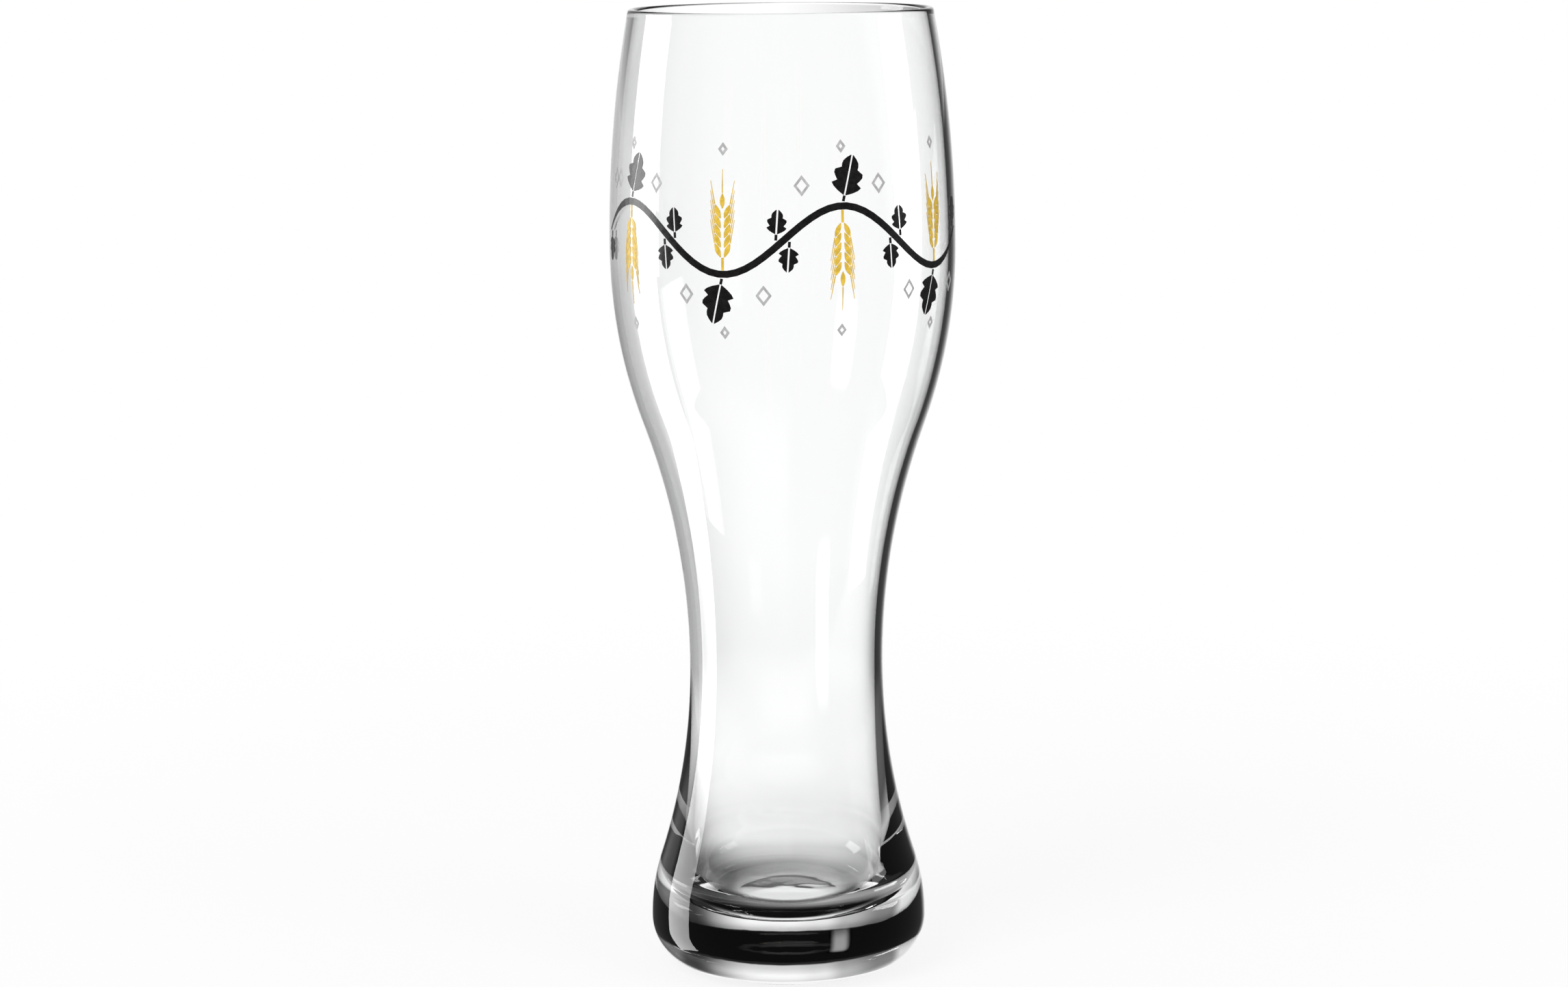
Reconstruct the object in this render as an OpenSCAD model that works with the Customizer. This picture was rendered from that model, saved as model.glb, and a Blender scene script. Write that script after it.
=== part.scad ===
// Wheat-beer glass for half a litre: a thick-footed clear glass with a fired enamel print on its front.
// The origin is the centre of the circle that the glass stands on, and +Z runs up its axis.
// The print is a frieze round the front of the bowl: a waving hop bine with leaves in black,
// barley ears in gold and open lozenges in grey. Each motif is a thin skin that follows the glass.

/* [Outline] */
// Height from the table to the top of the rim
glass_h = 240; // [220:1:270]
// Outer radius at the widest of the foot
foot_r = 34.6; // [31:0.1:38]
// Radius of the round that rolls the foot under, and so the height of its widest
foot_round_r = 12; // [9:0.1:13]
// Outer radius of the waist
waist_r = 24.2; // [21:0.1:27]
// Height of the waist
waist_z = 77; // [68:0.5:86]
// Outer radius at the widest of the bowl
bowl_r = 42.7; // [39:0.1:47]
// Height from the widest of the bowl up to the top of the rim
mouth_h = 58.5; // [48:0.5:68]
// How far the wall draws in from the widest of the bowl to the rim
mouth_in = 5.2; // [3:0.1:7]
// Share of the foot's flank that is hollow, counted down from the waist
flank_share = 0.76; // [0.6:0.01:0.85]
// Share of the rise from waist to bowl that is hollow
rise_share = 0.58; // [0.45:0.01:0.7]

/* [Walls and base] */
// Wall under the rim
rim_wall = 1.8; // [1.2:0.1:2.6]
// Wall at the widest of the bowl
bowl_wall = 1.8; // [1.2:0.1:2.6]
// Wall at the waist
waist_wall = 2; // [1.4:0.1:3]
// Wall beside the well, the widest of the cavity inside the foot
foot_wall = 9.8; // [8:0.1:12]
// Height of the floor inside
floor_z = 14.5; // [10:0.1:20]
// Radius of the round between floor and wall
well_round_r = 11; // [8:0.1:13]
// Thickness of the melted lip
lip_d = 1.9; // [1.6:0.1:3]
// Width of the flat ring that the glass stands on, round the hollow under the foot
stand_w = 6.6; // [4:0.1:9]
// Depth of the hollow under the foot
punt_depth = 1.6; // [0.8:0.1:3]

/* [Print] */
// Height of the middle of the print above the widest of the bowl
print_lift = 5.5; // [-2:0.5:12]
// Thickness of the fired enamel
ink_t = 0.08; // [0.05:0.01:0.2]
// Gap that keeps the enamel's facets clear of the round glass
ink_gap = 0.03; // [0.03:0.01:0.1]
// Number of waves that the bine makes across the front
waves = 2; // [1:1:3]
// Length of one wave
wave_pitch = 58; // [50:1:66]
// Height of a wave above and below its middle
wave_h = 8; // [6:0.5:10]
// Width of the bine's stroke
bine_w = 1.7; // [1:0.1:2.4]
// Clear gap between two strokes of the print that meet
stroke_gap = 0.1; // [0.05:0.01:0.2]

/* [Hop leaves] */
// Length of a leaf
leaf_len = 9.6; // [7:0.1:11]
// Width of a leaf across its lobes
leaf_w = 8.4; // [6:0.1:9]
// Length of a leaf's stalk
leaf_stalk_len = 1.4; // [0.8:0.1:2.4]
// Width of the bare vein down a leaf
leaf_vein_w = 0.4; // [0.2:0.05:0.6]

/* [Barley ears] */
// Number of kernels up each side of an ear
kernel_pairs = 5; // [3:1:5]
// Length of a kernel
kernel_len = 3.6; // [3:0.1:4]
// Width of a kernel
kernel_w = 1.25; // [0.8:0.05:1.3]
// Step from one kernel to the next
kernel_step = 2.3; // [2.3:0.1:2.8]
// Length of an awn, the bristle on a kernel
awn_len = 5.6; // [3:0.1:6.5]
// Width of an awn
awn_w = 0.32; // [0.25:0.01:0.36]
// Length of an ear's stalk
ear_stalk_len = 3; // [2:0.1:4]

/* [Lozenges] */
// Height of a large lozenge
lozenge_h = 5; // [4:0.1:5.6]
// Height of a small lozenge
small_lozenge_h = 3.2; // [2.6:0.1:3.4]
// Width of a lozenge's stroke
lozenge_stroke = 0.6; // [0.4:0.05:0.75]

/* [Hidden] */
turn_facets = 180;
arc_steps = 18;

lip_r = lip_d / 2;
lip_z = glass_h - lip_r;
foot_z = foot_round_r;
punt_r = foot_r - foot_round_r - stand_w;
bowl_z = glass_h - mouth_h;
rim_r = bowl_r - mouth_in;
well_r = foot_r - foot_wall;
well_z = floor_z + well_round_r;
print_z = bowl_z + print_lift;
front_len = waves * wave_pitch;

// Two tangent arcs join a hollow end at r_in to a round end at r_out, both upright there.
// Their radii add up to this, and the hollow arc has the given share of it.
function arcs_sum(r_in, r_out, dz) =
    (pow(r_out - r_in, 2) + pow(dz, 2)) / (2 * (r_out - r_in));

// Outline points of such a curve, from (r_in, z_in) to (r_out, z_out)
function s_curve(r_in, z_in, r_out, z_out, share) =
    let (dz = abs(z_out - z_in), up = sign(z_out - z_in))
    let (sum_r = arcs_sum(r_in, r_out, dz), hollow_r = share * sum_r, round_r = sum_r - hollow_r)
    let (turn = asin(dz / sum_r))
    concat(
        [for (i = [0 : arc_steps - 1]) let (a = turn * i / arc_steps)
            [r_in + hollow_r * (1 - cos(a)), z_in + up * hollow_r * sin(a)]],
        [for (i = [arc_steps : -1 : 0]) let (a = turn * i / arc_steps)
            [r_out - round_r * (1 - cos(a)), z_out - up * round_r * sin(a)]]);

// Outline points of one arc that is upright at (r_wide, z_wide) and leans in to (r_top, z_top)
function lean_r(r_wide, r_top, dz) = arcs_sum(r_top, r_wide, dz);
function lean_in(r_wide, z_wide, r_top, z_top) =
    let (big_r = lean_r(r_wide, r_top, z_top - z_wide), turn = asin((z_top - z_wide) / big_r))
    [for (i = [1 : arc_steps]) let (a = turn * i / arc_steps)
        [r_wide - big_r * (1 - cos(a)), z_wide + big_r * sin(a)]];

// Quarter round points about (r, z), from angle a0 to a1
function quarter(r, z, radius, a0, a1) =
    [for (i = [0 : arc_steps]) let (a = a0 + (a1 - a0) * i / arc_steps)
        [r + radius * cos(a), z + radius * sin(a)]];

function flipped(points) = [for (i = [len(points) - 1 : -1 : 0]) points[i]];

// Outer wall from the foot's lowest circle up to the lip
function outer_wall() = concat(
    quarter(foot_r - foot_round_r, foot_z, foot_round_r, -90, 0),
    flipped(s_curve(waist_r, waist_z, foot_r, foot_z, flank_share)),
    s_curve(waist_r, waist_z, bowl_r, bowl_z, rise_share),
    lean_in(bowl_r, bowl_z, rim_r, lip_z));

// Inner wall from the lip down to the middle of the floor
function inner_wall() = concat(
    flipped(lean_in(bowl_r - bowl_wall, bowl_z, rim_r - rim_wall, lip_z)),
    flipped(s_curve(waist_r - waist_wall, waist_z, bowl_r - bowl_wall, bowl_z, rise_share)),
    s_curve(waist_r - waist_wall, waist_z, well_r, well_z, flank_share),
    quarter(well_r - well_round_r, well_z, well_round_r, 0, -90),
    [[0, floor_z]]);

// The hollow under the foot is a shallow cap, and the ring round it is what the glass stands on
punt_ball_r = (pow(punt_r, 2) + pow(punt_depth, 2)) / (2 * punt_depth);
function punt_cap() =
    let (half = asin(punt_r / punt_ball_r))
    [for (i = [0 : arc_steps]) let (a = half * i / arc_steps)
        [punt_ball_r * sin(a), punt_depth - punt_ball_r * (1 - cos(a))]];

module glass_body() {
    color([0.86, 0.90, 0.90, 0.35])
    rotate_extrude($fn = turn_facets) {
        polygon(concat(punt_cap(), outer_wall(), inner_wall()));
        translate([rim_r - rim_wall / 2, lip_z]) circle(r = lip_r, $fn = turn_facets / 3);
    }
}

// Outer radius of the bowl at a height: the hollow rise, the round rise, then the lean to the rim
rise_sum = arcs_sum(waist_r, bowl_r, bowl_z - waist_z);
hollow_rise_r = rise_share * rise_sum;
round_rise_r = rise_sum - hollow_rise_r;
turn_z = waist_z + rise_share * (bowl_z - waist_z);
top_r = lean_r(bowl_r, rim_r, lip_z - bowl_z);
function rise(radius, z) = radius - sqrt(pow(radius, 2) - pow(z, 2));
function bowl_radius(z) =
    z < turn_z ? waist_r + rise(hollow_rise_r, z - waist_z)
    : z < bowl_z ? bowl_r - rise(round_rise_r, z - bowl_z)
    : bowl_r - rise(top_r, z - bowl_z);

// A point of the flat artwork, s to the right and v up, laid on the front of the bowl
function on_bowl(p, lift) =
    let (z = print_z + p[1], a = p[0] / bowl_r * 180 / PI, r = bowl_radius(z) + lift)
    [r * sin(a), -r * cos(a), z];

// A closed skin over a grid of artwork points. Each row runs across the motif from left to right,
// and the rows follow each other up it. A closed skin joins its last row to its first.
module skin(rows, closed = false) {
    n = len(rows);
    m = len(rows[0]);
    base = n * m;
    steps = closed ? n : n - 1;
    function id(layer, i, j) = layer * base + (i % n) * m + j;
    points = [for (lift = [ink_gap, ink_gap + ink_t]) for (row = rows) for (p = row) on_bowl(p, lift)];
    outer = [for (i = [0 : steps - 1]) for (j = [0 : m - 2])
        each [[id(1, i, j), id(1, i + 1, j), id(1, i + 1, j + 1)],
              [id(1, i, j), id(1, i + 1, j + 1), id(1, i, j + 1)]]];
    inner = [for (i = [0 : steps - 1]) for (j = [0 : m - 2])
        each [[id(0, i, j), id(0, i + 1, j + 1), id(0, i + 1, j)],
              [id(0, i, j), id(0, i, j + 1), id(0, i + 1, j + 1)]]];
    flanks = [for (i = [0 : steps - 1])
        each [[id(0, i, 0), id(1, i + 1, 0), id(1, i, 0)],
              [id(0, i, 0), id(0, i + 1, 0), id(1, i + 1, 0)],
              [id(0, i, m - 1), id(1, i, m - 1), id(1, i + 1, m - 1)],
              [id(0, i, m - 1), id(1, i + 1, m - 1), id(0, i + 1, m - 1)]]];
    ends = closed ? [] : [for (j = [0 : m - 2])
        each [[id(0, 0, j), id(1, 0, j), id(1, 0, j + 1)],
              [id(0, 0, j), id(1, 0, j + 1), id(0, 0, j + 1)],
              [id(0, n - 1, j), id(1, n - 1, j + 1), id(1, n - 1, j)],
              [id(0, n - 1, j), id(0, n - 1, j + 1), id(1, n - 1, j + 1)]]];
    polyhedron(points, concat(outer, inner, flanks, ends));
}

// One row across a motif that heads away from p, in degrees from +s. It runs from the offset
// left to the offset right, both counted to the left of p.
function between(p, heading, left, right, columns) =
    [for (j = [0 : columns]) let (w = left + (right - left) * j / columns)
        [p[0] - w * sin(heading), p[1] + w * cos(heading)]];
function across(p, heading, half, columns) = between(p, heading, half, -half, columns);

// A point that lies du along and dv beside a heading from p
function along(p, heading, du, dv = 0) =
    [p[0] + du * cos(heading) - dv * sin(heading), p[1] + du * sin(heading) + dv * cos(heading)];

// The bine: a sine wave whose stroke thins out at both ends
bine_steps = 26;
tip_share = 0.25;
function bine_v(s) = wave_h * sin(360 * (s + front_len / 2) / wave_pitch);
function bine_heading(s) =
    atan(wave_h * 2 * PI / wave_pitch * cos(360 * (s + front_len / 2) / wave_pitch));
crest_share = 0.25;
trough_share = 0.75;
function wave_s(k, share) = wave_pitch * (k + share) - front_len / 2;

module hop_bine() {
    count = bine_steps * waves;
    color([0.06, 0.06, 0.06])
    skin([for (i = [0 : count])
        let (t = i / count, s = front_len * (t - 0.5))
        let (taper = min(1, tip_share + 4 * waves * min(t, 1 - t)))
        across([s, bine_v(s)], bine_heading(s), bine_w / 2 * taper, 2)]);
}

// A leaf's half width along its length, as shares. Each side has three lobes that point forward,
// and the leaf is widest nearer its stalk.
leaf_rows = 12;
lobes = 3;
lobe_cut_share = 0.42;
lobe_point_share = 0.7;
leaf_tip_share = 0.04;
leaf_skew = 0.72;
leaf_fullness = 0.75;
function leaf_half_share(t) =
    let (place = t * lobes - floor(t * lobes))
    let (tooth = place < lobe_point_share ? place / lobe_point_share
            : (1 - place) / (1 - lobe_point_share))
    let (swell = pow(sin(180 * pow(t, leaf_skew)), leaf_fullness))
    max(leaf_tip_share, swell * (1 - lobe_cut_share * (1 - tooth)));

// A straight stroke from p along its heading, that tapers from its foot's width to its end's
module stroke(p, heading, length, foot_w, end_w) {
    skin([for (i = [0 : 2])
        across(along(p, heading, length * i / 2), heading, (foot_w + (end_w - foot_w) * i / 2) / 2, 1)]);
}

// A leaf is two halves beside a bare vein, on a stalk whose nearer corner starts just off the bine
leaf_stalk_share = 0.4;
module hop_leaf(s, heading, size_share) {
    stalk_w = leaf_stalk_share * bine_w;
    slant = heading - bine_heading(s);
    off_bine = (bine_w / 2 + stroke_gap + stalk_w / 2 * abs(cos(slant))) / abs(sin(slant));
    foot = along([s, bine_v(s)], heading, off_bine);
    blade = along(foot, heading, leaf_stalk_len + stroke_gap);
    vein = leaf_vein_w / 2;
    stroke(foot, heading, leaf_stalk_len, stalk_w, stalk_w);
    rows = [for (i = [0 : leaf_rows]) let (t = i / leaf_rows)
        [along(blade, heading, size_share * leaf_len * t),
         vein + size_share * leaf_w / 2 * leaf_half_share(t)]];
    skin([for (row = rows) between(row[0], heading, row[1], vein, 2)]);
    skin([for (row = rows) between(row[0], heading, -vein, -row[1], 2)]);
}

// Large leaves top the crests and end the troughs. A small pair stands where the bine crosses its
// middle, each leaf leaning away from the ear in its hollow.
leaf_lean = 14;
small_leaf_lean = 4;
small_leaf_share = 0.6;
pair_share = 0.03;
module leaves(upper) {
    side = upper ? 1 : -1;
    large_at_share = upper ? crest_share : trough_share;
    for (k = [0 : waves - 1]) {
        hop_leaf(wave_s(k, large_at_share), side * 90 - leaf_lean, 1);
        for (turn = [-1, 1])
            hop_leaf(wave_s(k, 0.5 + side * (turn > 0 ? pair_share : 0.5 - pair_share)),
                side * 90 + turn * small_leaf_lean, small_leaf_share);
    }
}
module hop_leaves_upper() { color([0.06, 0.06, 0.06]) leaves(true); }
module hop_leaves_lower() { color([0.06, 0.06, 0.06]) leaves(false); }

// A kernel is a lens along its heading, and its awn is a stroke that thins out
kernel_rows = 6;
kernel_tilt = 24;
kernel_fullness = 0.8;
kernel_tip_share = 0.12;
awn_tilt = 11;
awn_tip_share = 0.4;
rachis_share = 0.36;
module kernel(p, heading) {
    skin([for (i = [0 : kernel_rows]) let (t = i / kernel_rows)
        across(along(p, heading, kernel_len * t), heading,
            kernel_w / 2 * max(kernel_tip_share, pow(sin(180 * t), kernel_fullness)), 1)]);
}
module awn(p, heading) {
    stroke(p, heading, awn_len, awn_w, awn_tip_share * awn_w);
}

// An ear grows from p along its heading: stalk, pairs of kernels with their awns, and one at the tip
module barley_ear(p, heading) {
    head = along(p, heading, ear_stalk_len + stroke_gap);
    stroke(p, heading, ear_stalk_len, 2 * awn_w, 2 * awn_w);
    for (k = [0 : kernel_pairs - 1], side = [-1, 1]) {
        root = along(head, heading, kernel_step * k, side * kernel_w * rachis_share);
        tip = along(root, heading + side * kernel_tilt, kernel_len + stroke_gap);
        kernel(root, heading + side * kernel_tilt);
        awn(tip, heading + side * awn_tilt);
    }
    crown = along(head, heading, kernel_step * kernel_pairs);
    kernel(crown, heading);
    awn(along(crown, heading, kernel_len + stroke_gap), heading);
}

// Ears stand in each trough of the bine and hang under each crest
module ears(standing) {
    side = standing ? 1 : -1;
    for (k = [0 : waves - 1]) {
        s = wave_s(k, standing ? trough_share : crest_share);
        barley_ear([s, bine_v(s) + side * (bine_w / 2 + stroke_gap)], side * 90);
    }
}
module barley_ears_standing() { color([0.86, 0.68, 0.16]) ears(true); }
module barley_ears_hanging() { color([0.86, 0.68, 0.16]) ears(false); }

// An open lozenge is one closed loop of stroke, with a row at each corner and each side's middle
lozenge_w_share = 0.78;
stroke_slant_share = norm([1, lozenge_w_share]) / lozenge_w_share;
module lozenge(p, height) {
    corners = [[0, 1], [1, 0], [0, -1], [-1, 0]];
    loop = [for (i = [0 : 3]) each [corners[i], (corners[i] + corners[(i + 1) % 4]) / 2]];
    skin([for (c = loop) [for (half = [height / 2, height / 2 - stroke_slant_share * lozenge_stroke])
        [p[0] + half * lozenge_w_share * c[0], p[1] + half * c[1]]]], closed = true);
}

// Three lozenges make a bow over each crest, or under each trough, and a small one tips each ear
bow_share = 0.17;
bow_low_share = 1.62;
bow_high_share = 2.75;
module lozenges(upper) {
    side = upper ? 1 : -1;
    ear_len = ear_stalk_len + kernel_step * kernel_pairs + kernel_len + awn_len;
    ear_tip = bine_w / 2 + ear_len + lozenge_h;
    for (k = [0 : waves - 1]) {
        bow_s = wave_s(k, upper ? crest_share : trough_share);
        for (turn = [-1, 1])
            lozenge([bow_s + turn * bow_share * wave_pitch, side * bow_low_share * wave_h], lozenge_h);
        lozenge([bow_s, side * bow_high_share * wave_h], small_lozenge_h);
        ear_s = wave_s(k, upper ? trough_share : crest_share);
        lozenge([ear_s, side * (ear_tip - wave_h)], small_lozenge_h);
    }
}
module lozenges_upper() { color([0.70, 0.70, 0.70]) lozenges(true); }
module lozenges_lower() { color([0.70, 0.70, 0.70]) lozenges(false); }

glass_body();
hop_bine();
hop_leaves_upper();
hop_leaves_lower();
barley_ears_standing();
barley_ears_hanging();
lozenges_upper();
lozenges_lower();
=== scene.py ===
"""A half-litre wheat-beer glass with a fired enamel frieze, on a pale floor under soft studio light."""

import math

import bpy
from bpy.props import FloatProperty, FloatVectorProperty, IntProperty, PointerProperty
from mathutils import Matrix, Vector


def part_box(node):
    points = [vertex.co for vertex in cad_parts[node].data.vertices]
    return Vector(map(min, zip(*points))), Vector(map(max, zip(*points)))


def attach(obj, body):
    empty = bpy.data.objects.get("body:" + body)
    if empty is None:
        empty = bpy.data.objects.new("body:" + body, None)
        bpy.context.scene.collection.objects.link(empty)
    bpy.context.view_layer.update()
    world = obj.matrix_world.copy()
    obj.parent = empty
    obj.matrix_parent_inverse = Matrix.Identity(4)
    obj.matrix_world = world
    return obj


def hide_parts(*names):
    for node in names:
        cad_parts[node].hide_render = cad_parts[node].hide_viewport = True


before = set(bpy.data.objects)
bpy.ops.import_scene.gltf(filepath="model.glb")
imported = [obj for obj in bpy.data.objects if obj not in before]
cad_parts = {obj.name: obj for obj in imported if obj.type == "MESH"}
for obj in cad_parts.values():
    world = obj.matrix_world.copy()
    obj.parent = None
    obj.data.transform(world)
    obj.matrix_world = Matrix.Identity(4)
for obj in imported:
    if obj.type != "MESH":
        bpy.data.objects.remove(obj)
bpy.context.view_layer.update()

bl_info = {
    "name": "Wheat Beer Glass",
    "version": (1, 0, 0),
    "blender": (4, 5, 0),
    "location": "3D View > Sidebar > Beer Glass",
    "description": "Builds a printed wheat-beer glass round its fixed solids",
    "category": "Object",
}

GLASS_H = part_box("glass_body")[1].z

HOP_PIECES = ("hop_bine", "hop_leaves_upper", "hop_leaves_lower")
BARLEY_PIECES = ("barley_ears_standing", "barley_ears_hanging")
LOZENGE_PIECES = ("lozenges_upper", "lozenges_lower")

WHITE = (1, 1, 1)
ENAMEL_IOR = 1.5
WAVE_DEPTH = 0.00004  # of the slow waves in the glass
PEEL_DEPTH = 0.00002  # of the enamel's orange peel

PHOTO_W = 2292  # pixels
SENSOR_W = 36  # mm
STAGE_RINGS = (0, 0.02, 0.05, 0.1, 0.3, 1.0)
STAGE_FACETS = 64
STAGE_GAP = 0.0001  # keeps the floor just clear of the glass's ring
CARD_SPAN = 10  # degrees
CARD_OVERLAP = 1.01

# Points along the parts of the glass's outline
PUNT_STEPS = 14
RING_STEPS = 3
ROUND_STEPS = 32
FLANK_STEPS = 26
RISE_STEPS = 30
LEAN_STEPS = 40
WELL_STEPS = 5
LIP_STEPS = 22
LIP_GAP = 0.12  # radians left between the lip's round and the wall
LIP_TOUCH = 0.999  # share of the lip's radius at which a point is on it
AXIS_TOUCH = 1e-7  # radius at which a point is on the axis


# Sizes and colours

def distance(name, description, default):
    return FloatProperty(name=name, description=description, default=default, min=0,
                         subtype="DISTANCE", unit="LENGTH")


def share(name, description, default):
    return FloatProperty(name=name, description=description, default=default, min=0.1, max=0.9)


def brightness(name, description, default):
    return FloatProperty(name=name, description=description, default=default, min=0)


def wattage(name, description, default):
    return FloatProperty(name=name, description=description, default=default, min=0, unit="POWER")


def colour(name, description, default):
    return FloatVectorProperty(name=name, description=description, default=default, size=3,
                               subtype="COLOR", min=0, max=1)


class GlassSizes(bpy.types.PropertyGroup):
    """The outline of the glass, its walls and its clarity"""
    height: distance("Height", "From the table to the top of the rim", GLASS_H)
    foot_r: distance("Foot radius", "Outer radius at the widest of the foot", 0.0346)
    foot_round: distance("Foot round", "Radius of the round that rolls the foot under", 0.012)
    waist_r: distance("Waist radius", "Outer radius of the waist", 0.0242)
    waist_z: distance("Waist height", "Height of the waist", 0.077)
    bowl_r: distance("Bowl radius", "Outer radius at the widest of the bowl", 0.0427)
    mouth_h: distance("Mouth height", "From the widest of the bowl to the rim", 0.0585)
    mouth_in: distance("Mouth draw-in", "How far the bowl draws in to the rim", 0.0052)
    flank_share: share("Flank share", "Hollow share of the foot's flank", 0.76)
    rise_share: share("Rise share", "Hollow share of the rise to the bowl", 0.58)
    rim_wall: distance("Rim wall", "Wall under the rim", 0.0018)
    bowl_wall: distance("Bowl wall", "Wall at the widest of the bowl", 0.0018)
    waist_wall: distance("Waist wall", "Wall at the waist", 0.002)
    foot_wall: distance("Foot wall", "Wall beside the well", 0.0098)
    floor_z: distance("Floor height", "Height of the floor inside", 0.0145)
    well_round: distance("Well round", "Round between floor and wall", 0.011)
    lip_d: distance("Lip thickness", "Thickness of the melted lip, flush with the wall", 0.0018)
    stand_w: distance("Standing ring", "Width of the ring that the glass stands on", 0.0066)
    punt_depth: distance("Punt depth", "Depth of the hollow under the foot", 0.0016)
    facets: IntProperty(name="Facets", description="Facets round the glass", default=224, min=32)
    ior: FloatProperty(name="Refraction", description="Index of refraction", default=1.52, min=1)
    tint: colour("Tint", "Colour of the glass", (0.995, 1.0, 0.998))


class PrintColours(bpy.types.PropertyGroup):
    """The three fired enamels"""
    black: colour("Black", "Bine and leaves", (0.006, 0.006, 0.006))
    gold: colour("Gold", "Barley ears", (0.76, 0.50, 0.045))
    grey: colour("Grey", "Lozenges", (0.46, 0.46, 0.46))


class StageSettings(bpy.types.PropertyGroup):
    """The photograph's view and light"""
    eye_back: distance("Camera distance", "From the axis back to the camera", 0.930)
    eye_height: distance("Camera height", "Height of the camera", 0.2748)
    eye_aside: FloatProperty(name="Camera aside", description="Camera's place across the view",
                             default=-0.0002, subtype="DISTANCE", unit="LENGTH")
    focal_px: FloatProperty(name="Focal length in pixels", description="At the photograph's width",
                            default=5524.2, min=1)
    pitch: FloatProperty(name="Pitch", description="How far the camera looks down",
                         default=math.radians(9.471), subtype="ANGLE")
    roll: FloatProperty(name="Roll", description="How far the camera is turned about its view",
                        default=math.radians(-0.5124), subtype="ANGLE")
    floor_r: distance("Floor radius", "Radius of the floor", 8.0)
    floor_shade: colour("Floor", "Colour of the floor", (0.93, 0.93, 0.93))
    card_away: distance("Card distance", "From the axis to the light cards", 1.2)
    left_strip: brightness("Left strip", "Strength of the cards to the left", 5.0)
    right_strip: brightness("Right strip", "Strength of the cards to the right", 2.0)
    glint: brightness("Glint", "Strength of the card whose glint shows in the foot", 7.0)
    key_power: wattage("Key lamp", "Power of the lamp to the front left", 22)
    fill_power: wattage("Fill lamp", "Power of the lamp to the front right", 8)


# Shader maths

class Socket:
    """A shader socket that adds its Math nodes as it is used in an expression"""

    def __init__(self, tree, value):
        self.tree = tree
        self.value = value

    def __add__(self, other):
        return self.math("ADD", self, other)

    def __radd__(self, other):
        return self.math("ADD", other, self)

    def __sub__(self, other):
        return self.math("SUBTRACT", self, other)

    def __rsub__(self, other):
        return self.math("SUBTRACT", other, self)

    def __mul__(self, other):
        return self.math("MULTIPLY", self, other)

    def __rmul__(self, other):
        return self.math("MULTIPLY", other, self)

    def __truediv__(self, other):
        return self.math("DIVIDE", self, other)

    def __rtruediv__(self, other):
        return self.math("DIVIDE", other, self)

    def __neg__(self):
        return self.math("SUBTRACT", 0, self)

    def __abs__(self):
        return self.math("ABSOLUTE", self)

    def math(self, operation, *values):
        return self.tree.node("ShaderNodeMath", {"operation": operation}, dict(enumerate(values)))[0]

    def within(self, low, high):
        """0 below low, 1 above high, and smooth between"""
        return self.tree.node("ShaderNodeMapRange", {"interpolation_type": "SMOOTHSTEP"},
                              {"Value": self, "From Min": low, "From Max": high})["Result"]

    def band(self, start, full, fall, end):
        """1 between full and fall, 0 before start and after end, and smooth between"""
        return self.within(start, full) * (1 - self.within(fall, end))


class Outputs:
    """The outputs of one node, by name or by number"""

    def __init__(self, tree, made):
        self.tree = tree
        self.made = made

    def __getitem__(self, key):
        return Socket(self.tree, self.made.outputs[key])


class Tree:
    """A node tree that is filled by code"""

    def __init__(self, owner):
        owner.use_nodes = True
        self.nodes = owner.node_tree.nodes
        self.links = owner.node_tree.links
        self.nodes.clear()

    def node(self, kind, settings=None, inputs=None):
        """A node of one kind: its settings are set first, then its inputs by name or number"""
        made = self.nodes.new(kind)
        for name, value in (settings or {}).items():
            setattr(made, name, value)
        for name, value in (inputs or {}).items():
            self.feed(made.inputs[name], value)
        return Outputs(self, made)

    def feed(self, socket, value):
        if isinstance(value, Socket):
            self.links.new(value.value, socket)
        elif socket.type == "RGBA":
            socket.default_value = (*value, 1)
        else:
            socket.default_value = value

    def blend(self, part, first, second):
        """A colour between two, by a part of the second"""
        mixed = self.node("ShaderNodeMix", {"data_type": "RGBA"}, {0: part, 6: first, 7: second})
        return mixed[2]

    def bump(self, height, depth):
        """A normal for a height that goes from 0 to 1 over a depth"""
        return self.node("ShaderNodeBump", None, {"Height": height, "Distance": depth})["Normal"]

    def noise(self, place, scale, **inputs):
        return self.node("ShaderNodeTexNoise", None, {"Vector": place, "Scale": scale, **inputs})["Fac"]

    def coordinate(self, kind):
        return self.node("ShaderNodeTexCoord")[kind]

    def split(self, vector):
        return self.node("ShaderNodeSeparateXYZ", None, {"Vector": vector})

    def stretch(self, vector, by):
        return self.node("ShaderNodeVectorMath", {"operation": "MULTIPLY"}, {0: vector, 1: by})["Vector"]

    def length(self, vector):
        return self.node("ShaderNodeVectorMath", {"operation": "LENGTH"}, {0: vector})["Value"]

    def glow(self, shade, strength=1.0):
        return self.node("ShaderNodeEmission", None, {"Color": shade, "Strength": strength})["Emission"]

    def mix(self, part, first, second):
        """A shader between two, by a part of the second"""
        return self.node("ShaderNodeMixShader", None, {0: part, 1: first, 2: second})["Shader"]

    def surface(self, shader):
        self.node("ShaderNodeOutputMaterial", None, {"Surface": shader})


# The outline of the glass

def arcs_sum(r_in, r_out, dz):
    """The radii together of two tangent arcs, or of one, that turn from upright to r_out over dz"""
    return ((r_out - r_in) ** 2 + dz ** 2) / (2 * (r_out - r_in))


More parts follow.
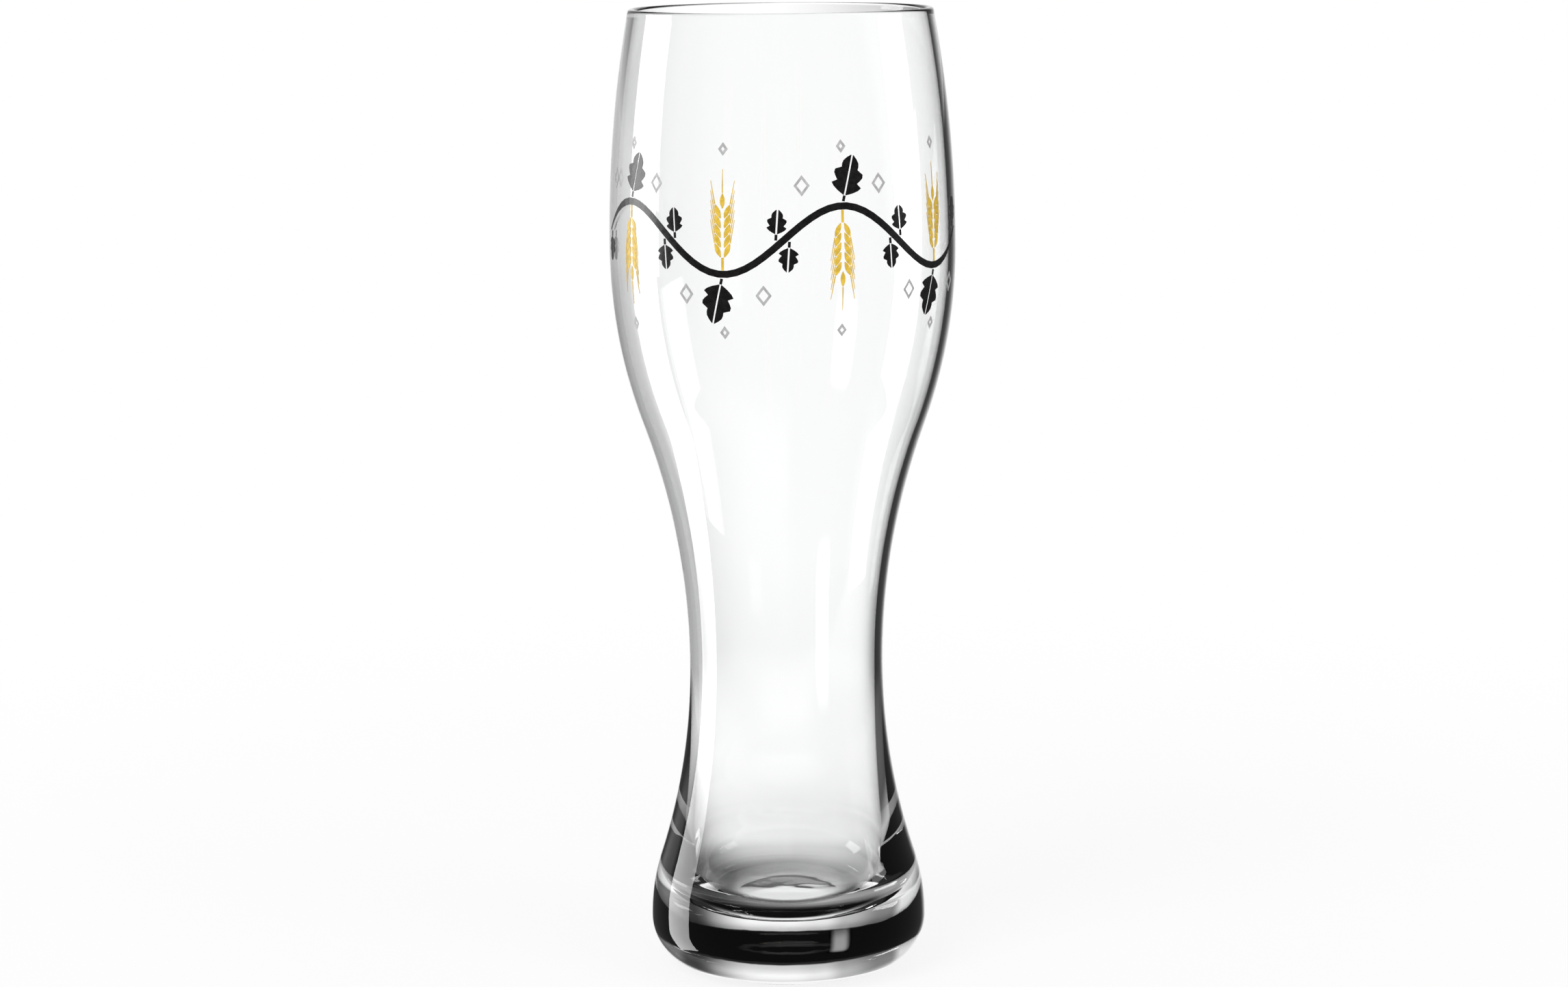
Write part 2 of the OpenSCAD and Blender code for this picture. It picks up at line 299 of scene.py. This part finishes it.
def s_curve(r_in, z_in, r_out, z_out, hollow_share, steps):
    """Two tangent arcs from a hollow end at r_in to a round end at r_out, both upright there"""
    dz, up = abs(z_out - z_in), math.copysign(1, z_out - z_in)
    total = arcs_sum(r_in, r_out, dz)
    hollow, full = hollow_share * total, (1 - hollow_share) * total
    turn = math.asin(dz / total)
    first = [(r_in + hollow * (1 - math.cos(turn * i / steps)),
              z_in + up * hollow * math.sin(turn * i / steps)) for i in range(steps)]
    last = [(r_out - full * (1 - math.cos(turn * i / steps)),
             z_out - up * full * math.sin(turn * i / steps)) for i in range(steps, -1, -1)]
    return first + last


def lean_in(r_wide, z_wide, r_top, z_top, steps):
    """One arc that is upright at the bottom and leans in to its top"""
    total = arcs_sum(r_top, r_wide, z_top - z_wide)
    turn = math.asin((z_top - z_wide) / total)
    return [(r_wide - total * (1 - math.cos(turn * i / steps)),
             z_wide + total * math.sin(turn * i / steps)) for i in range(1, steps + 1)]


def arc(r, z, radius, a0, a1, steps):
    """Points along an arc round (r, z), from angle a0 to a1"""
    return [(r + radius * math.cos(a0 + (a1 - a0) * i / steps),
             z + radius * math.sin(a0 + (a1 - a0) * i / steps)) for i in range(steps + 1)]


def side(sizes, foot_r, foot_z, waist_r, bowl_r, rim_r):
    """One face of the wall, from just above the foot's round or the well's up to the lip's centre"""
    bowl_z = sizes.height - sizes.mouth_h
    lip_z = sizes.height - sizes.lip_d / 2
    flank = s_curve(waist_r, sizes.waist_z, foot_r, foot_z, sizes.flank_share, FLANK_STEPS)
    rise = s_curve(waist_r, sizes.waist_z, bowl_r, bowl_z, sizes.rise_share, RISE_STEPS)
    return flank[-2::-1] + rise[1:] + lean_in(bowl_r, bowl_z, rim_r, lip_z, LEAN_STEPS)


def outside_lip(points, centre, radius):
    """The wall's points that aren't inside the lip"""
    return [p for p in points if math.dist(p, centre) > LIP_TOUCH * radius]


def underside(punt_r, ring_r, depth):
    """The shallow hollow under the foot, and the ring round it that the glass stands on"""
    ball = (punt_r ** 2 + depth ** 2) / (2 * depth)
    half = math.asin(punt_r / ball) / PUNT_STEPS
    punt = [(ball * math.sin(half * i), depth - ball * (1 - math.cos(half * i)))
            for i in range(PUNT_STEPS + 1)]
    return punt + [(punt_r + (ring_r - punt_r) * i / RING_STEPS, 0) for i in range(1, RING_STEPS)]


def glass_outline(sizes):
    """The closed outline from the axis under the foot, out, up, over the lip and down inside"""
    lip_r = sizes.lip_d / 2
    rim_r = sizes.bowl_r - sizes.mouth_in
    well_r = sizes.foot_r - sizes.foot_wall
    well_z = sizes.floor_z + sizes.well_round
    ring_r = sizes.foot_r - sizes.foot_round
    lip = (rim_r - sizes.rim_wall / 2, sizes.height - lip_r)

    under = underside(ring_r - sizes.stand_w, ring_r, sizes.punt_depth)
    foot = arc(ring_r, sizes.foot_round, sizes.foot_round, -math.pi / 2, 0, ROUND_STEPS)
    outside = side(sizes, sizes.foot_r, sizes.foot_round, sizes.waist_r, sizes.bowl_r, rim_r)
    inside = side(sizes, well_r, well_z, sizes.waist_r - sizes.waist_wall,
                  sizes.bowl_r - sizes.bowl_wall, rim_r - sizes.rim_wall)
    corner = arc(well_r - sizes.well_round, well_z, sizes.well_round, 0, -math.pi / 2, ROUND_STEPS)
    floor = [(corner[-1][0] * (1 - i / WELL_STEPS), sizes.floor_z) for i in range(1, WELL_STEPS + 1)]

    outer = outside_lip(under + foot + outside, lip, lip_r)
    inner = outside_lip(inside[::-1] + corner + floor, lip, lip_r)
    start = math.atan2(outer[-1][1] - lip[1], outer[-1][0] - lip[0])
    end = math.atan2(inner[0][1] - lip[1], inner[0][0] - lip[0])
    sweep = (end - start) % math.tau
    return outer + arc(*lip, lip_r, start + LIP_GAP, start + sweep - LIP_GAP, LIP_STEPS) + inner


def add_object(name, data):
    made = bpy.data.objects.new(name, data)
    bpy.context.scene.collection.objects.link(made)
    return made


def revolve(name, outline, facets):
    """A closed body of revolution about Z, whose outline starts and ends on the axis"""
    verts, faces, rings = [], [], []
    for r, z in outline:
        if r < AXIS_TOUCH:
            rings.append([len(verts)])
            verts.append((0, 0, z))
            continue
        rings.append(range(len(verts), len(verts) + facets))
        verts += [(r * math.cos(math.tau * k / facets), r * math.sin(math.tau * k / facets), z)
                  for k in range(facets)]
    for low, high in zip(rings, rings[1:]):
        for k in range(facets):
            n = (k + 1) % facets
            if len(low) == 1:
                faces.append((low[0], high[n], high[k]))
            elif len(high) == 1:
                faces.append((low[k], low[n], high[0]))
            else:
                faces.append((low[k], low[n], high[n], high[k]))
    mesh = bpy.data.meshes.new(name)
    mesh.from_pydata(verts, [], faces)
    mesh.polygons.foreach_set("use_smooth", [True] * len(faces))
    mesh.update()
    return add_object(name, mesh)


# Finishes

def principled(tree, **inputs):
    """A Principled shader whose sockets are given by their names with _ for spaces"""
    values = {name.replace("_", " "): value for name, value in inputs.items()}
    tree.surface(tree.node("ShaderNodeBsdfPrincipled", None, values)["BSDF"])


def clear_glass(sizes):
    """Fire-polished soda glass: clear, with the slow waves that a gather leaves in its thick foot

    The waves run everywhere, the swirl is in the foot alone and the tear is on the well's floor.
    """
    material = bpy.data.materials.new("clear_glass")
    tree = Tree(material)
    place = tree.coordinate("Object")
    height, reach = tree.split(place)["Z"], tree.length(tree.stretch(place, (1, 1, 0)))
    waves = tree.noise(place, 38, Detail=1)
    swirl = tree.noise(place, 75, Distortion=1.2) * (1 - height.within(0.018, 0.045))
    in_well = (1 - reach.within(0.016, 0.022)) * (1 - height.within(0.016, 0.02))
    tear = tree.noise(place, 85, Detail=0, Distortion=1) * in_well
    principled(tree, Base_Color=sizes.tint, Roughness=0.0, IOR=sizes.ior, Transmission_Weight=1.0,
               Normal=tree.bump(waves + 0.7 * swirl + 5 * tear, WAVE_DEPTH))
    return material


def fired_enamel(name, shade, smooth, rough):
    """Screen-printed enamel: a dense colour with the print's fine cloudiness and a soft orange peel"""
    material = bpy.data.materials.new(name)
    tree = Tree(material)
    place = tree.coordinate("Object")
    cloud = tree.noise(place, 900, Detail=3)
    grain = tree.noise(place, 4200, Detail=2)
    thin = tuple(min(1, c * 1.12 + 0.004) for c in shade)
    dense = tuple(c * 0.9 for c in shade)
    principled(tree, Base_Color=tree.blend(cloud.within(0.35, 0.65), dense, thin),
               Roughness=smooth + cloud * (rough - smooth), IOR=ENAMEL_IOR,
               Normal=tree.bump(grain * 0.6 + cloud * 0.4, PEEL_DEPTH))
    return material


def dress(names, material):
    """Put a material in every slot of the named solids"""
    for name in names:
        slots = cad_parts[name].material_slots
        if not slots:
            raise RuntimeError(f"{name} has no slot for {material.name}")
        for slot in slots:
            slot.material = material


# Light as the glass shows it

def once_mirrored(path):
    """1 for light that the glass has mirrored on its way, 0 for light that came straight through"""
    return path["Glossy Depth"].within(0.2, 0.8)


def mid_stretch(aside, mirrored):
    """0 for straight light from far aside, which only the views from the sides look at, and else 1"""
    return 1 - abs(aside).within(0.62, 0.72) * (1 - mirrored)


def backdrop_light(aside, mirrored):
    """The lit stretch of the backdrop by the sine of the azimuth: grey to its left and dark to its right"""
    left, middle = -aside, mid_stretch(aside, mirrored)
    grey = (1 - 0.13 * left.within(0.02, 0.14)) * (1 - 0.42 * left.within(0.18, 0.3) * middle)
    return grey * (1 - 0.85 * aside.within(0.18, 0.5) * middle)


def painted_foot_shade(path, aside, start):
    """Painted shade: the dark to the right that shows in the solid foot, which light only enters and leaves
    """
    solid = 1 - path["Transmission Depth"].within(2.2, 2.8)
    return 0.85 * solid * aside.band(start, start + 0.15, 0.93, 0.99)


def painted_floor_light(tree, path, place, away):
    """Painted light on the floor as the glass shows it: a painted bright pool with the painted shadows that
    the foot needs
    """
    parts = tree.split(place)
    aside = parts["X"] / away
    mirrored = once_mirrored(path)
    painted_light_pool = 0.95 + 0.14 * away.within(0.05, 0.16) + 0.05 * away.within(0.3, 0.6)
    # Painted shadow where the glass stands: a painted dark under its ring, on the front half, and a painted
    # soft shadow, deeper to the left
    ring = tree.length(tree.stretch(place, (0.45, 1, 1))).within(0.006, 0.012)
    ring *= (1 - away.within(0.024, 0.034)) * (1 - parts["Y"].within(-0.004, 0.012))
    shade = (0.85 - 0.25 * parts["X"].within(-0.022, 0.022)) * away.band(0.0085, 0.023, 0.023, 0.06)
    # Beside it: painted shade, darker to the left than to the right, and darker to the right for the solid
    # foot
    sides = (0.8 - 0.45 * aside.within(0, 0.5)) * abs(aside).within(0.3, 0.95)
    sides *= away.band(0.012, 0.03, 0.10, 0.25)
    foot = painted_foot_shade(path, aside, -0.02) * away.within(0.08, 0.12)
    # Further off: the backdrop's own light painted on the floor, and painted dark in front of the glass for
    # light that it mirrors
    far = away.within(0.14, 0.36) * (1 - backdrop_light(aside, mirrored))
    front = mirrored * (1 - parts["Y"].within(-0.3, -0.1))
    return painted_light_pool * (1 - ring) * (1 - shade) * (1 - sides) * (1 - foot) * (1 - far) * (1 - front)


def seen_through(path, parts, low, rear):
    """The studio as it shows through the glass, by the direction that the light comes from"""
    aside, up = parts["X"], parts["Z"]
    mirrored = once_mirrored(path)
    risen = up.within(-0.02, 0.04)
    wall = backdrop_light(aside, mirrored) * low * (1 - mirrored * (1 - rear))
    # The wall falls off upwards and to the left, and a painted shade darkens it to the right for the solid
    # foot
    wall *= 1 - 0.12 * risen - 0.3 * up.within(0.13, 0.33)
    wall *= 1 - 0.55 * risen * (-aside).within(0.3, 0.52) * mid_stretch(aside, mirrored)
    wall *= 1 - painted_foot_shade(path, aside, 0.4)
    ceiling = up.band(0.70, 0.76, 0.83, 0.85) * (1 - abs(aside).within(0.1, 0.4))
    few_turns = 1 - path["Glossy Depth"].within(2.2, 2.8)
    return 0.02 + few_turns * (1.17 * wall + 0.2 * ceiling)


def seen_mirrored(parts, low, rear):
    """The studio as the outside of the glass mirrors it: a window behind and a paler wall to the left"""
    left = -parts["X"]
    beside = left.within(0.15, 0.27)
    window = (1 - beside) * (1 - parts["X"].within(0.15, 0.50))
    wall = beside * (1 - left.within(0.78, 0.88)) * parts["Z"].within(-0.16, -0.08)
    return 0.1 + (0.9 * window + 0.4 * wall) * low * rear


# The stage

def lay_floor(stage):
    """A round floor: white to the camera but for the glass's soft shadow, and glowing with painted light
    and painted shadows where the glass shows it
    """
    floor = revolve("floor", [(r, 0) for r in (*STAGE_RINGS, stage.floor_r)], STAGE_FACETS)
    floor.location.z = -STAGE_GAP
    material = bpy.data.materials.new("floor")
    tree = Tree(material)
    place = tree.coordinate("Object")
    away = tree.length(place)
    path = tree.node("ShaderNodeLightPath")
    camera, through = path["Is Camera Ray"], path["Is Transmission Ray"]
    lit = tree.node("ShaderNodeBsdfDiffuse", None, {"Color": stage.floor_shade})["BSDF"]
    # Rays through the glass see the floor glow with painted light and painted shadows
    glow = tree.glow(camera + through * painted_floor_light(tree, path, place, away))
    shown = camera * (0.87 + 0.13 * away.within(0.05, 0.5))
    tree.surface(tree.mix(shown + through, lit, glow))
    floor.data.materials.append(material)
    floor.visible_glossy = False


def light_backdrop(scene):
    """A world that is white to the camera and is a studio of light and dark to the glass"""
    scene.world = bpy.data.worlds.new("studio")
    tree = Tree(scene.world)
    parts = tree.split(tree.coordinate("Generated"))
    path = tree.node("ShaderNodeLightPath")
    camera, through = path["Is Camera Ray"], path["Is Transmission Ray"]
    # A refracted ray is marked as glossy too; plain is what the floor and the print take
    gloss = path["Is Glossy Ray"] * (1 - through)
    plain = (1 - gloss) * (1 - through) * (1 - camera)
    low = 1 - parts["Z"].within(0.37, 0.44)
    rear = parts["Y"].within(-0.35, 0.1)
    shade = (camera + through * seen_through(path, parts, low, rear)
             + gloss * seen_mirrored(parts, low, rear) + 0.5 * plain)
    sky = tree.node("ShaderNodeBackground", None, {"Color": shade})["Background"]
    tree.node("ShaderNodeOutputWorld", None, {"Surface": sky})


def around(azimuth, away):
    """A place on the floor plane, at an azimuth counted from straight behind the glass, + to +X"""
    a = math.radians(azimuth)
    return Vector((away * math.sin(a), away * math.cos(a), 0))


def card(name, centre, half_w, low, high, strength, soft=0):
    """An upright card that faces the axis and shows only where the glass mirrors it

    soft is the share of its width and height over which each edge fades.
    """
    half = Vector((-centre.y, centre.x, 0)).normalized() * half_w
    corners = [centre + across * half + Vector((0, 0, z)) for across, z in
               ((-1, low), (1, low), (1, high), (-1, high))]
    mesh = bpy.data.meshes.new(name)
    mesh.from_pydata(corners, [], [(0, 1, 2, 3)])
    material = bpy.data.materials.new(name)
    tree = Tree(material)
    shade = WHITE
    if soft:
        parts = tree.split(tree.coordinate("Generated"))
        shade = parts["X"].band(0, soft, 1 - soft, 1) * parts["Z"].band(0, soft, 1 - soft, 1)
    path = tree.node("ShaderNodeLightPath")
    straight = path["Is Transmission Ray"] * (1 - once_mirrored(path))
    clear = tree.node("ShaderNodeBsdfTransparent")["BSDF"]
    tree.surface(tree.mix(straight, tree.glow(shade, strength), clear))
    mesh.materials.append(material)
    piece = add_object(name, mesh)
    piece.visible_camera = piece.visible_diffuse = piece.visible_shadow = False
    return piece


def card_row(name, first, last, away, low, high, strength):
    """Cards side by side, each about CARD_SPAN degrees wide, from azimuth first to last"""
    count = round((last - first) / CARD_SPAN)
    step = (last - first) / count
    half_w = away * math.tan(math.radians(step / 2)) * CARD_OVERLAP
    for i in range(count):
        card(f"{name}_{i + 1}", around(first + step * (i + 0.5), away), half_w, low, high, strength)


def hang_lamp(name, place, size, power):
    """A round lamp that lights the print and isn't seen in the glass"""
    data = bpy.data.lights.new(name, "AREA")
    data.shape, data.size, data.energy = "DISK", size, power
    lamp = add_object(name, data)
    lamp.location = place
    aim = Vector((0, 0, 0.1)) - Vector(place)
    lamp.rotation_euler = aim.to_track_quat("-Z", "Y").to_euler()
    lamp.visible_camera = lamp.visible_glossy = lamp.visible_transmission = False


def place_camera(scene, stage):
    """The photograph's camera, which looks down on the glass from its front"""
    data = bpy.data.cameras.new("camera")
    data.sensor_width = SENSOR_W
    data.lens = stage.focal_px / PHOTO_W * SENSOR_W
    data.clip_start, data.clip_end = 0.01, 50
    camera = add_object("camera", data)
    place = Matrix.Translation((stage.eye_aside, -stage.eye_back, stage.eye_height))
    tilt = Matrix.Rotation(math.pi / 2 - stage.pitch, 4, "X")
    camera.matrix_world = place @ tilt @ Matrix.Rotation(stage.roll, 4, "Z")
    scene.camera = camera


# Operators

class BEERGLASS_OT_blow_glass(bpy.types.Operator):
    """Make the glass body: foot, waist, bowl, lip and the well inside"""
    bl_idname = "beerglass.blow_glass"
    bl_label = "Blow Glass"

    def execute(self, context):
        sizes = context.scene.glass_sizes
        glass = revolve("beer_glass", glass_outline(sizes), sizes.facets)
        glass.data.materials.append(clear_glass(sizes))
        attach(glass, "root")
        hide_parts("glass_body")
        return {"FINISHED"}


class BEERGLASS_OT_print_hops(bpy.types.Operator):
    """Give the hop bine and its leaves their black enamel"""
    bl_idname = "beerglass.print_hops"
    bl_label = "Print Hops"

    def execute(self, context):
        shade = context.scene.print_colours.black
        dress(HOP_PIECES, fired_enamel("black_enamel", shade, 0.22, 0.34))
        return {"FINISHED"}


class BEERGLASS_OT_print_barley(bpy.types.Operator):
    """Give the barley ears their gold enamel"""
    bl_idname = "beerglass.print_barley"
    bl_label = "Print Barley"

    def execute(self, context):
        shade = context.scene.print_colours.gold
        dress(BARLEY_PIECES, fired_enamel("gold_enamel", shade, 0.32, 0.46))
        return {"FINISHED"}


class BEERGLASS_OT_print_lozenges(bpy.types.Operator):
    """Give the lozenges their grey enamel"""
    bl_idname = "beerglass.print_lozenges"
    bl_label = "Print Lozenges"

    def execute(self, context):
        shade = context.scene.print_colours.grey
        dress(LOZENGE_PIECES, fired_enamel("grey_enamel", shade, 0.32, 0.46))
        return {"FINISHED"}


class BEERGLASS_OT_set_stage(bpy.types.Operator):
    """Lay the floor, hang the cards, set the lamps and the camera"""
    bl_idname = "beerglass.set_stage"
    bl_label = "Set Stage"

    def execute(self, context):
        stage = context.scene.stage_settings
        away = stage.card_away
        lay_floor(stage)
        light_backdrop(context.scene)
        card_row("light_strip_left", -89, -61, away, low=-0.8, high=0.5, strength=stage.left_strip)
        card_row("light_strip_right", 79, 101, away, low=0.2, high=0.6, strength=stage.right_strip)
        glint = card("glint_card", around(137, away), half_w=0.2, low=-0.66, high=-0.05,
                     strength=stage.glint, soft=0.35)
        glint.visible_transmission = False
        hang_lamp("key_lamp", (-1.0, -1.2, 1.6), size=1.2, power=stage.key_power)
        hang_lamp("fill_lamp", (1.3, -0.9, 1.1), size=1.0, power=stage.fill_power)
        place_camera(context.scene, stage)
        context.scene.view_settings.view_transform = "Standard"
        return {"FINISHED"}


OPERATORS = (BEERGLASS_OT_blow_glass, BEERGLASS_OT_print_hops, BEERGLASS_OT_print_barley,
             BEERGLASS_OT_print_lozenges, BEERGLASS_OT_set_stage)
GROUPS = {"glass_sizes": GlassSizes, "print_colours": PrintColours, "stage_settings": StageSettings}


class BEERGLASS_PT_panel(bpy.types.Panel):
    """The steps that make the glass, with its sizes and colours"""
    bl_label = "Beer Glass"
    bl_space_type = "VIEW_3D"
    bl_region_type = "UI"
    bl_category = "Beer Glass"

    def draw(self, context):
        for operator in OPERATORS:
            self.layout.operator(operator.bl_idname)
        for group_name, group_type in GROUPS.items():
            column = self.layout.box().column()
            for name in group_type.__annotations__:
                column.prop(getattr(context.scene, group_name), name)


CLASSES = (*GROUPS.values(), *OPERATORS, BEERGLASS_PT_panel)


def register():
    for made in CLASSES:
        bpy.utils.register_class(made)
    for name, group in GROUPS.items():
        setattr(bpy.types.Scene, name, PointerProperty(type=group))


def unregister():
    for name in GROUPS:
        delattr(bpy.types.Scene, name)
    for made in reversed(CLASSES):
        bpy.utils.unregister_class(made)


def main():
    register()
    bpy.ops.beerglass.blow_glass()
    bpy.ops.beerglass.print_hops()
    bpy.ops.beerglass.print_barley()
    bpy.ops.beerglass.print_lozenges()
    bpy.ops.beerglass.set_stage()


if __name__ == "__main__":
    main()
